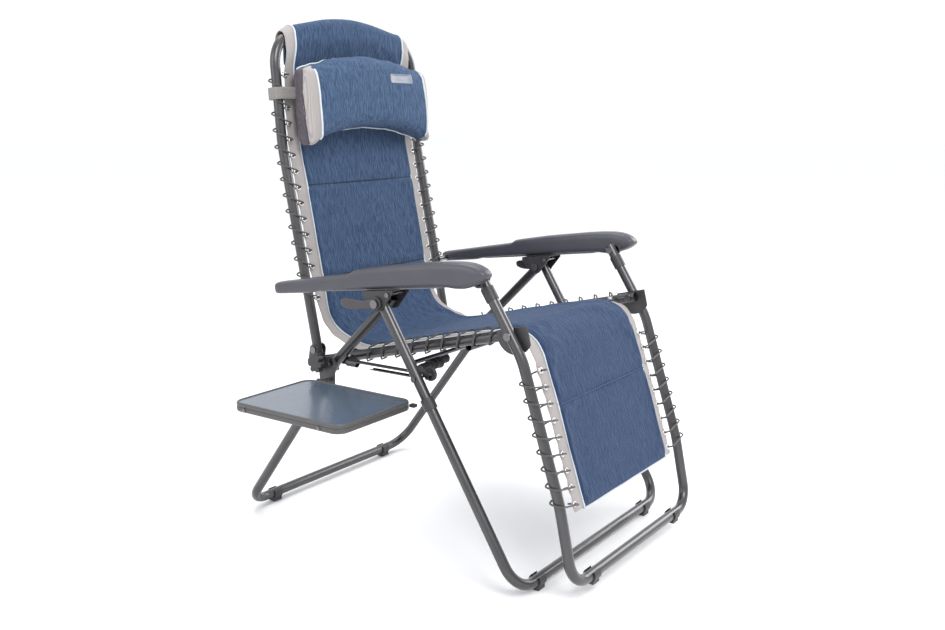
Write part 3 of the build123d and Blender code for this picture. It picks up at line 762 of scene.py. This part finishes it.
def attach_section(piece, section):
    """Rides a section on its body when it spans one; a section that spans two bodies is only baked in place,
    not blended with them.
    """
    bodies = SLING_BODIES[section]
    if len(bodies) == 1:
        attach(piece, bodies[0])
        return
    first = SHARED[CUT_ROWS[section - 1] - WRAP_ROWS]
    last = SHARED[CUT_ROWS[section] - WRAP_ROWS]
    share = {1: (0.22, 0.74), 2: (0.26, 0.85), 4: (0.25, 0.8), 5: (0.2, 0.62)}[section]
    start = [a + (b - a) * share[0] for a, b in zip(first, last)]
    end = [a + (b - a) * share[1] for a, b in zip(first, last)]
    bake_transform(piece)


def build_sling():
    body, pins = build_sling_body()
    puff(body, pins, pressure=1.1, frames=14, cap=0.005, grow=0.012, stiffness=12.0)
    subdivide(body)
    tension_folds(body)
    wrinkle(body, 0.0012, 17.0, 3.0)
    pieces = split_by_rows(body, CUT_ROWS, ["sling_" + n for n in SECTION_NAMES])
    for k, piece in enumerate(pieces):
        attach_section(piece, k)
    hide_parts("back_sling", "top_pocket")
    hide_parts("seat_sling")
    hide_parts("footrest_sling")


# ---- margins, piping, eyelets ----
def eyelet_rows():
    """Rows that carry an eyelet, taken from where the CAD eyelets are."""
    rows = {}
    for node in ("back_eyelets", "seat_eyelets", "footrest_eyelets"):
        co = (read_points(frame["nodes"][node].data)[0] - np.array(SHIFT)) * 1000
        co = co[co[:, 0] > 0]
        key = co[:, 2] if node != "seat_eyelets" else co[:, 1]
        order = np.argsort(key)
        groups = np.split(order, np.flatnonzero(np.diff(key[order]) > 5) + 1)
        rows[node] = [tuple(co[g][:, 1:].mean(axis=0)) for g in groups]
    return rows


def margin_half(x_row):
    """Half-width of the margin at a row: pulled in between the eyelets, drawn in at the corner."""
    s = MIDDLE_LENGTH[x_row]
    width = MARGIN_HALF
    distance = min(abs(s - e) for e in EYELET_ARC)
    width -= 3.2 * smooth(min(distance, 19) / 19)
    corner = math.exp(-((x_row - CUT_ROWS[1]) / 9.0) ** 2)
    return width - 7 * corner


def build_margins():
    """Plain woven margins on both sides, one closed strip each, cut like the sling."""
    columns = 9
    first_row = FLAP_ROWS - 2
    hidden = SLING_HALF - 5
    for s, side in SIDES:
        front, back = [], []
        for c in range(columns):
            t = c / (columns - 1)
            thick = 1.3 if 0 < c < columns - 1 else 1.3 * 0.35
            for r in range(first_row, ROWS):
                half = SLING_HALF + 26
                if r >= WRAP_ROWS - TOP_ROWS:
                    share = smooth((r - (WRAP_ROWS - TOP_ROWS)) / TOP_ROWS)
                    half = half * (1 - share) + margin_half(r) * share
                x = s * (hidden + (half - hidden) * t)
                line, normals = line_at(x)
                wave = 0.9 * math.sin(MIDDLE_LENGTH[r] * 0.16 + s) * t * smooth((r - WRAP_ROWS) / 6)
                lift = wave + (1 - t) * 1.2
                front.append(off_line(x, line[r], normals[r], lift + thick))
                back.append(off_line(x, line[r], normals[r], lift - thick))
        strip = new_mesh("margin", front + back, sheet_faces(columns, ROWS - first_row), MARGIN)
        mark_cloth(strip, [s * (0.186 + 0.0042 * c) for c in range(columns)], first_row, (0.2, 0.2))
        face_outwards(strip)
        subdivide(strip)
        names = [f"margin_{n}_{side}" for n in SECTION_NAMES]
        for k, piece in enumerate(split_by_rows(strip, CUT_ROWS, names)):
            attach_section(piece, k)


def build_piping():
    """Welt cord between pad and margin, and the seams and the hem that cross the pad."""
    for s, side in SIDES:
        x = s * (SLING_HALF - 1.5)
        line, normals = line_at(x)
        for k, name in enumerate(SECTION_NAMES):
            first = FLAP_ROWS if k == 0 else CUT_ROWS[k - 1]
            last = ROWS - 1 if k == len(SECTION_NAMES) - 1 else CUT_ROWS[k]
            points = [off_line(x, line[r], normals[r], 3.4) for r in range(first, last + 1)]
            piece = tube_along(f"piping_{name}_{side}", points, 0.0021, PIPING)
            attach_section(piece, k)
    line, normals = line_at(0)
    crossings = [  # name, row, body, lift, drop, inset at the ends, radius, material
        ("piping_hem", ROWS - 1, "footrest_frame", 1.5, 1.5, 0, 0.0021, PIPING),
        ("seam_back_0", SEAM_ROWS[0], "back_frame", 5.2, 0, 4, 0.0016, SEAM),
        ("seam_back_1", SEAM_ROWS[1], "back_frame", 5.2, 0, 4, 0.0016, SEAM),
        ("piping_shin_seam", SEAM_ROWS[3], "footrest_frame", 5.6, 0, 3, 0.0014, PILLOW_BLUE)]
    for name, r, body, lift, drop, inset, radius, material in crossings:
        y, z = line[r]
        points = [off_line(x, (y, z - drop), normals[r], lift)
                  for x in np.linspace(inset - SLING_HALF, SLING_HALF - inset, 40)]
        finish_piece(tube_along(name, points, radius, material), body, "blue_fabric")


EYELET_SIDES = 20
# rolled eyelet, as (radius, height): a collar with flanges front and rear
EYELET_PROFILE = [
    (3.5, -2.2), (3.2, -1.2), (3.15, 0.0), (3.2, 1.6), (3.6, 2.6), (4.4, 3.1), (5.4, 2.9), (6.3, 2.1),
    (6.5, 1.55), (5.2, 1.5), (4.2, 1.3), (4.2, -1.4), (5.4, -1.5), (6.2, -1.9), (5.6, -2.5), (4.4, -2.8)]


def build_eyelets():
    body = {"back_eyelets": "back_frame", "seat_eyelets": "seat_frame", "footrest_eyelets": "footrest_frame"}
    faces = ring_faces(len(EYELET_PROFILE), EYELET_SIDES, closed=True)
    for node, points in EYELETS.items():
        rings = []
        for y, z in points:
            axis = (0, *line_at(EYELET_X)[1][nearest_row((y, z))])
            for s in (-1, 1):
                verts = turned_points(place(s * EYELET_X, y, z), axis, EYELET_PROFILE, EYELET_SIDES)
                rings.append(new_mesh("ring", verts, faces, SILVER))
        made = join("rolled_" + node, rings)
        finish_piece(made, body[node], "plated_steel", node)


# ---- headrest pillow ----
PILLOW_HALF = 205.0
PILLOW_BACK = 19.5
PILLOW_DEPTH = 50.0
PILLOW_BASE = along(BACK_BEND, BACK_SHOULDER, 92)
PILLOW_UP = unit(BACK_BEND, BACK_SHOULDER)


def pillow_point(x, up, out):
    y = PILLOW_BASE[0] + PILLOW_UP[0] * up - PILLOW_UP[1] * out
    z = PILLOW_BASE[1] + PILLOW_UP[1] * up + PILLOW_UP[0] * out
    return place(x, y, z)


def pillow_edges(x):
    """Low and high edge of the crescent at one x."""
    t = x / PILLOW_HALF
    return -98.0 + 34.0 * (1 - t * t), 66.0 + 36.0 * (1 - t * t)


def build_pillow():
    """Crescent cushion: rows round the section, columns across; inflated, then piped."""
    around = 56
    verts = []
    xs = eased_columns(PILLOW_HALF, 44, 0.96)
    for x in xs:
        low_edge, high_edge = pillow_edges(x)
        end = edge_fall(x, PILLOW_HALF, 3.0, 16.0)
        half_h = (high_edge - low_edge) / 2 - 4.0 * (1 - end)
        centre_up = (high_edge + low_edge) / 2
        depth = PILLOW_DEPTH * (0.94 + 0.06 * end)
        for k in range(around):
            a = 2 * math.pi * k / around
            c, s = math.cos(a), math.sin(a)
            up = half_h * bulge(s, 2 / 7.0)
            out = depth / 2 * bulge(c, 2 / 5.5)
            crown = 5.0 * (1 - (up / half_h) ** 2) * end if out > 0 else 0.0
            verts.append(pillow_point(x, centre_up + up, PILLOW_BACK + depth / 2 + out + crown))
    n = len(xs)
    faces = ring_faces(n, around)
    # flat gusset ends: rings running in to a centre
    for end, i in ((0, 0), (1, n - 1)):
        ring = [i * around + k for k in range(around)]
        middle = sum((verts[j] for j in ring), Vector()) / around
        for share in (0.72, 0.42):
            fresh = []
            for j in range(around):
                fresh.append(len(verts))
                verts.append(middle + (verts[i * around + j] - middle) * share)
            for k in range(around):
                m = (k + 1) % around
                quad = (ring[k], ring[m], fresh[m], fresh[k])
                faces.append(quad if end else quad[::-1])
            ring = fresh
        hub = len(verts)
        verts.append(middle)
        for k in range(around):
            m = (k + 1) % around
            tri = (ring[k], ring[m], hub)
            faces.append(tri if end else tri[::-1])
    obj = new_mesh("headrest_cushion", verts, faces)
    face_outwards(obj)
    pins = [i for i, v in enumerate(obj.data.vertices) if pillow_local(v.co)[2] < PILLOW_BACK + 3]
    puff(obj, pins, pressure=2.2, frames=16, cap=0.007, grow=0.02, stiffness=9.0)
    subdivide(obj)
    wrinkle(obj, 0.0022, 13.0, 8.0)
    wrinkle(obj, 0.0009, 37.0, 2.0)
    mesh = obj.data
    mesh.materials.clear()
    for m in (PILLOW_BLUE, GUSSET, MARGIN):
        mesh.materials.append(m)
    cloth = mesh.attributes.new("cloth", "FLOAT_VECTOR", "POINT")
    for i, v in enumerate(mesh.vertices):
        x, up, out = pillow_local(v.co)
        cloth.data[i].vector = (x / 1000, up / 1000, out / 1000)
    gusset_out = PILLOW_BACK + PILLOW_DEPTH * 0.62
    for f in mesh.polygons:
        x, up, out = pillow_local(f.center)
        if abs(x) > PILLOW_HALF - 7:
            f.material_index = 1 if out < gusset_out else 2
        elif abs(x) > PILLOW_HALF - 20 and out > gusset_out:
            f.material_index = 2
    mesh.shade_smooth()
    surface = BVHTree.FromPolygons([v.co.copy() for v in mesh.vertices],
                                   [tuple(f.vertices) for f in mesh.polygons])

    def snap(points, lift):
        out = []
        for p in points:
            hit, normal, _, _ = surface.find_nearest(p)
            out.append(hit + normal * lift)
        return out

    pieces = []
    welts = (  # name, inset from the pillow's end, out, lift, radius, material
        ("front", 20, PILLOW_BACK + PILLOW_DEPTH + 1, 0.0009, 0.0022, PIPING),
        ("side", 3, gusset_out, 0.0004, 0.0014, GUSSET))
    for s, side in SIDES:
        for name, inset, out, lift, radius, material in welts:
            x = s * (PILLOW_HALF - inset)
            low_edge, high_edge = pillow_edges(x)
            route = [pillow_point(x, low_edge + 3 + (high_edge - low_edge - 6) * t, out)
                     for t in np.linspace(0, 1, 36)]
            pieces.append(tube_along(f"pillow_{name}_welt_{side}", snap(route, lift), radius, material))
    for name, pick in (("top", 1), ("low", 0)):
        route = []
        for x in np.linspace(-PILLOW_HALF + 6, PILLOW_HALF - 6, 70):
            edge = pillow_edges(x)[pick] + (-1 if pick else 1)
            route.append(pillow_point(x, edge, PILLOW_BACK + (9 if pick else 8)))
        pieces.append(tube_along(f"pillow_{name}_welt", snap(route, 0.0007), 0.0022, PIPING))
    finish_piece(obj, "headrest", "blue_fabric", "headrest_pillow")
    for p in pieces:
        finish_piece(p, "headrest", "blue_fabric")
    build_badge(surface)


def pillow_local(co):
    p = (co - SHIFT) * 1000
    dy, dz = p.y - PILLOW_BASE[0], p.z - PILLOW_BASE[1]
    up = dy * PILLOW_UP[0] + dz * PILLOW_UP[1]
    out = -dy * PILLOW_UP[1] + dz * PILLOW_UP[0]
    return p.x, up, out


def build_badge(surface):
    """Blank sewn patch: a rounded plate with a raised rim, laid on the pillow's face."""
    outline = rounded_rectangle(86, 22, 5, per_corner=6)
    rings = [(1.0, 0.2), (1.0, 1.1), (0.95, 1.5), (0.9, 1.5), (0.86, 1.0), (0.4, 1.0)]
    verts = []
    centre_x, centre_up = 96.0, 50.0
    for share, lift in rings:
        for u, v in outline:
            p = pillow_point(centre_x + u * share, centre_up + v * share, PILLOW_BACK + PILLOW_DEPTH + 8)
            hit, normal, _, _ = surface.find_nearest(p)
            verts.append(hit + normal * lift / 1000)
    faces = ring_faces(len(rings), len(outline))
    faces.append(ring_cap(len(rings) - 1, len(outline)))
    badge = new_mesh("headrest_patch", verts, faces, BADGE)
    finish_piece(badge, "headrest", "badge", "headrest_badge")


def build_headrest_strap():
    """Webbing band from the pillow's ends round the back tubes."""
    width = 26.0
    up_mid = 18.0
    outer = X_RAIL + TUBE_R + 5.5
    rear = TUBE_R + 7.0
    front = PILLOW_BACK + 3.0
    corner = 12.0
    path = [(PILLOW_HALF - 16, front)]
    for cx, cy, a0, a1 in ((outer - corner, front - corner, 90, 0), (outer - corner, corner - rear, 0, -90)):
        for k in range(7):
            a = math.radians(a0 + (a1 - a0) * k / 6)
            path.append((cx + corner * math.cos(a), cy + corner * math.sin(a)))
    path.append((120, -rear))
    path.append((60, -rear - 0.6))
    path.append((0, -rear - 1.0))
    full = path + [(-x, o) for x, o in reversed(path[:-1])]
    verts = []
    columns = 7
    for i, (x, o) in enumerate(full):
        a, b = full[max(0, i - 1)], full[min(len(full) - 1, i + 1)]
        d = unit(a, b)
        nx, no = d[1], -d[0]
        for side, order in ((-0.7, range(columns)), (0.7, reversed(range(columns)))):
            for c in order:
                up = up_mid - width / 2 + width * c / (columns - 1)
                rim = 0.75 if c in (0, columns - 1) else 1.0
                verts.append(pillow_point(x + nx * side * rim, up, o + no * side * rim))
    strap = new_mesh("headrest_band", verts, ring_faces(len(full), 2 * columns), WEBBING)
    face_outwards(strap)
    finish_piece(strap, "headrest", "strap_webbing", "headrest_strap")


# ---- armrests ----
def arm_to_side(u, v):
    d = unit(ARM_REAR, ARM_FRONT)
    return (ARM_REAR[0] + d[0] * u + d[1] * v, ARM_REAR[1] + d[1] * u - d[0] * v)


ARM_STATIONS = [  # u, underside, top, half width
    (-14, -6, 12, 17), (-11, -9, 15.5, 20), (-4, -9.6, 16.6, 21), (40, -9.6, 19, 21.4), (92, -9.4, 22, 21.6),
    (114, -6.5, 23.4, 21.8), (160, -5.4, 26, 22), (202, -5, 28.6, 22), (209, -5, 31.2, 22), (216, -5, 35, 22),
    (232, -5, 36.6, 22), (310, -5, 41, 22), (420, -5.2, 43.2, 22), (452, -6.4, 42.8, 22), (470, -9.4, 42, 22),
    (490, -10, 40.4, 22), (506, -6.5, 37.6, 21.6), (520, -3, 33.4, 20.4), (531, 1.2, 28, 18.2),
    (538, 5.5, 22, 15), (541.5, 9.5, 16.5, 10)]


def build_armrest(s, side):
    """Lofted armrest: crowned top, tucked underside, rounded nose."""
    around = 40
    keys = np.array(ARM_STATIONS, float)
    us = np.concatenate([np.linspace(-14, -4, 5), np.linspace(4, 196, 26), np.linspace(200, 220, 11),
                         np.linspace(228, 484, 34), np.linspace(489, 541.5, 24)])
    verts = []
    for u in us:
        bottom, top, half = (np.interp(u, keys[:, 0], keys[:, k]) for k in (1, 2, 3))
        mid, tall = (bottom + top) / 2, (top - bottom) / 2
        nose = smooth((u - 480) / 60)
        for k in range(around):
            a = 2 * math.pi * k / around
            c, sn = math.cos(a), math.sin(a)
            power = 4.6 - 2.2 * nose
            across = half * bulge(c, 2 / power)
            v = mid + tall * bulge(sn, 2 / power)
            if sn > 0:
                v -= 1.6 * (across / half) ** 2 * (1 - nose)
            y, z = arm_to_side(u, v)
            verts.append(place(s * (X_ARM + across), y, z))
    faces = ring_faces(len(us), around)
    faces += [ring_cap(0, around), ring_cap(len(us) - 1, around)[::-1]]
    arm = new_mesh("armrest_shell_" + side, verts, faces, GREY)
    face_outwards(arm)
    finish_piece(arm, "armrests", "grey_plastic", "armrest_" + side)


def build_arm_rings():
    """Raised collar round the front pivot on each armrest's inner side."""
    for s, side in SIDES:
        centre = place(s * (X_ARM - ARM_W / 2), *ARM_FRONT)
        profile = [(9.2, -0.6), (9.4, 1.6), (10.2, 2.3), (12.4, 2.3), (13.4, 1.4), (13.6, -0.6)]
        ring = lathe("armrest_collar_" + side, centre, (-s, 0, 0), profile, LEVER)
        finish_piece(ring, "armrests", "grey_plastic")


# ---- hubs, levers ----
BLADE_X = 329.4
BOSS_X = 326.2


def build_levers():
    """Wing-shaped lock lever: lofted blade on a round boss."""
    d = unit(ARM_REAR, ARM_FRONT)
    u_hub = (0 - ARM_REAR[0]) * d[0] + (HUB_Z - ARM_REAR[1]) * d[1]
    v_hub = (0 - ARM_REAR[0]) * d[1] - (HUB_Z - ARM_REAR[1]) * d[0]
    stations = [  # u from the hub, v, half height, half thickness
        (6, 0, 10.5, 3.0), (0, 0, 12.5, 3.2), (-10, 0, 12, 3.0), (-22, -1, 9, 2.6), (-36, -2, 8.4, 2.5),
        (-52, -1, 10.5, 2.5), (-68, 1, 11.6, 2.4), (-82, 3, 10.4, 2.2), (-90, 4, 7.5, 1.8),
        (-94, 4.6, 3.6, 1.2)]
    for s, side in SIDES:
        verts = []
        around = 20
        for u, v, tall, thick in stations:
            for k in range(around):
                a = 2 * math.pi * k / around
                y, z = arm_to_side(u_hub + u, v_hub + v + tall * bulge(math.sin(a), 0.75))
                verts.append(place(s * (BLADE_X + thick * bulge(math.cos(a), 0.6)), y, z))
        faces = ring_faces(len(stations), around)
        faces += [ring_cap(0, around), ring_cap(len(stations) - 1, around)]
        blade = new_mesh("blade", verts, faces, LEVER)
        face_outwards(blade)
        subdivide(blade)
        boss = lathe("boss", place(s * BOSS_X, 0, HUB_Z), (s, 0, 0),
                     [(5.2, 0), (12.5, 0), (13.6, 1.0), (13.6, 5.2), (12.4, 6.4), (5.2, 6.4)], BLACK)
        lever = join("lock_wing_" + side, [blade, boss])
        finish_piece(lever, side + "_lever", "grey_plastic", "lock_lever_" + side)


# ---- rolled carry straps under the seat ----
def build_strap_rolls():
    low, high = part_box("carry_strap_roll")
    low, high = (low - SHIFT) * 1000, (high - SHIFT) * 1000
    rolls = []
    for x, length, y in ((-150, 74, low.y + 11), (-104, 66, high.y - 11)):
        z = (low.z + high.z) / 2
        turns = 5
        for k in range(turns):
            centre_x = x + (k - (turns - 1) / 2) * length / turns
            lean = 0.16 * math.sin(k * 2.4 + x)
            width = length / turns * 0.96
            r = 10.4 + 0.5 * math.sin(k * 1.9)
            profile = [(6.5, -width / 2), (r - 0.8, -width / 2), (r, -width / 2 + 1.2),
                       (r, width / 2 - 1.2), (r - 0.8, width / 2), (6.5, width / 2)]
            rolls.append(lathe("roll", place(centre_x, y, z), (1, lean, lean * 0.6), profile, DARK_WEB, 24))
    made = join("carry_strap_bundle", rolls)
    finish_piece(made, "seat_frame", "strap_webbing", "carry_strap_roll")


# ---- side table rim ----
def build_table_rim():
    low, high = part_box("table_rim")
    centre = (low + high) / 2
    width, length = (high.x - low.x) * 1000, (high.y - low.y) * 1000
    profile = [  # inset, height
        (1.2, 0.0), (0.3, 0.6), (0.0, 1.6), (0.0, 8.6), (0.5, 9.2), (1.1, 9.5), (1.1, 10.3),
        (0.5, 10.6), (0.0, 11.2), (0.0, 15.6), (0.5, 16.8), (1.6, 17.7), (3.0, 18.0), (4.6, 17.6),
        (5.3, 16.4), (5.3, 11.8), (4.4, 11.6), (4.4, 1.0), (3.8, 0.0)]
    rows = []
    for inset, h in profile:
        ring = rounded_rectangle(width - 2 * inset, length - 2 * inset, max(2, 24 - inset))
        rows.append([Vector((centre.x + x / 1000, centre.y + y / 1000, low.z + h / 1000)) for x, y in ring])
    verts = [p for row in rows for p in row]
    rim = new_mesh("table_rim_extrusion", verts, ring_faces(len(rows), len(rows[0]), closed=True), RIM)
    face_outwards(rim)
    rim.data.set_sharp_from_angle(angle=math.radians(50))
    finish_piece(rim, "side_table", "table_rim", "table_rim")


# ---- studio ----
def build_studio():
    far = 30
    corners = [(-far, -far, 0), (far, -far, 0), (far, far, 0), (-far, far, 0)]
    floor = new_mesh("studio_floor", corners, [(0, 1, 2, 3)])
    floor.location.z = -0.0008  # just under the feet, so that nothing flickers
    m = Material("studio_floor_pale", (0.9, 0.9, 0.9), 0.8)
    at = m.coords()
    m.colour(m.mix(m.noise(at, 2, 2), (0.94, 0.94, 0.94), (0.95, 0.95, 0.95)))
    floor.data.materials.append(m.material)
    world = bpy.data.worlds.new("studio")
    world.use_nodes = True
    background = world.node_tree.nodes["Background"]
    background.inputs["Color"].default_value = (0.97, 0.98, 1.0, 1)
    background.inputs["Strength"].default_value = 1.08
    bpy.context.scene.world = world
    middle = Vector((0.1, 0, 0.5))
    for name, spot, size, power in (("key", (-1.6, -2.6, 3.2), 1.8, 85), ("fill", (-3.0, 1.4, 2.0), 2.2, 30),
                                    ("side", (2.8, -1.0, 1.8), 1.6, 40), ("top", (0.4, 0.8, 3.6), 2.2, 45)):
        light = bpy.data.lights.new(name, "AREA")
        light.energy = power
        light.size = size
        lamp = bpy.data.objects.new(name, light)
        lamp.location = spot
        lamp.rotation_euler = (middle - Vector(spot)).to_track_quat("-Z", "Y").to_euler()
        bpy.context.scene.collection.objects.link(lamp)
    bpy.context.scene.view_settings.view_transform = "Standard"


AZIMUTH, ELEVATION = -54.62, 11.32
LENS = 38.97
CAMERA_AT = (-1850.6, -1317.1, 932.3)


def build_camera():
    azimuth, elevation = math.radians(AZIMUTH), math.radians(ELEVATION)
    back = Vector((math.sin(azimuth) * math.cos(elevation), -math.cos(azimuth) * math.cos(elevation),
                   math.sin(elevation)))
    camera = bpy.data.cameras.new("camera")
    camera.lens = LENS
    camera.sensor_width = 36
    camera.clip_start = 0.05
    obj = bpy.data.objects.new("camera", camera)
    obj.location = place(*CAMERA_AT)
    obj.rotation_euler = back.to_track_quat("Z", "Y").to_euler()
    bpy.context.scene.collection.objects.link(obj)
    bpy.context.scene.camera = obj


EYELETS = eyelet_rows()
EYELET_ARC = [MIDDLE_LENGTH[nearest_row(q)] for points in EYELETS.values() for q in points]

dress_cad_nodes()
build_sling()
build_margins()
build_piping()
build_eyelets()
build_pillow()
build_headrest_strap()
for sign, label in SIDES:
    build_armrest(sign, label)
build_arm_rings()
build_levers()
build_strap_rolls()
build_table_rim()
build_studio()
build_camera()
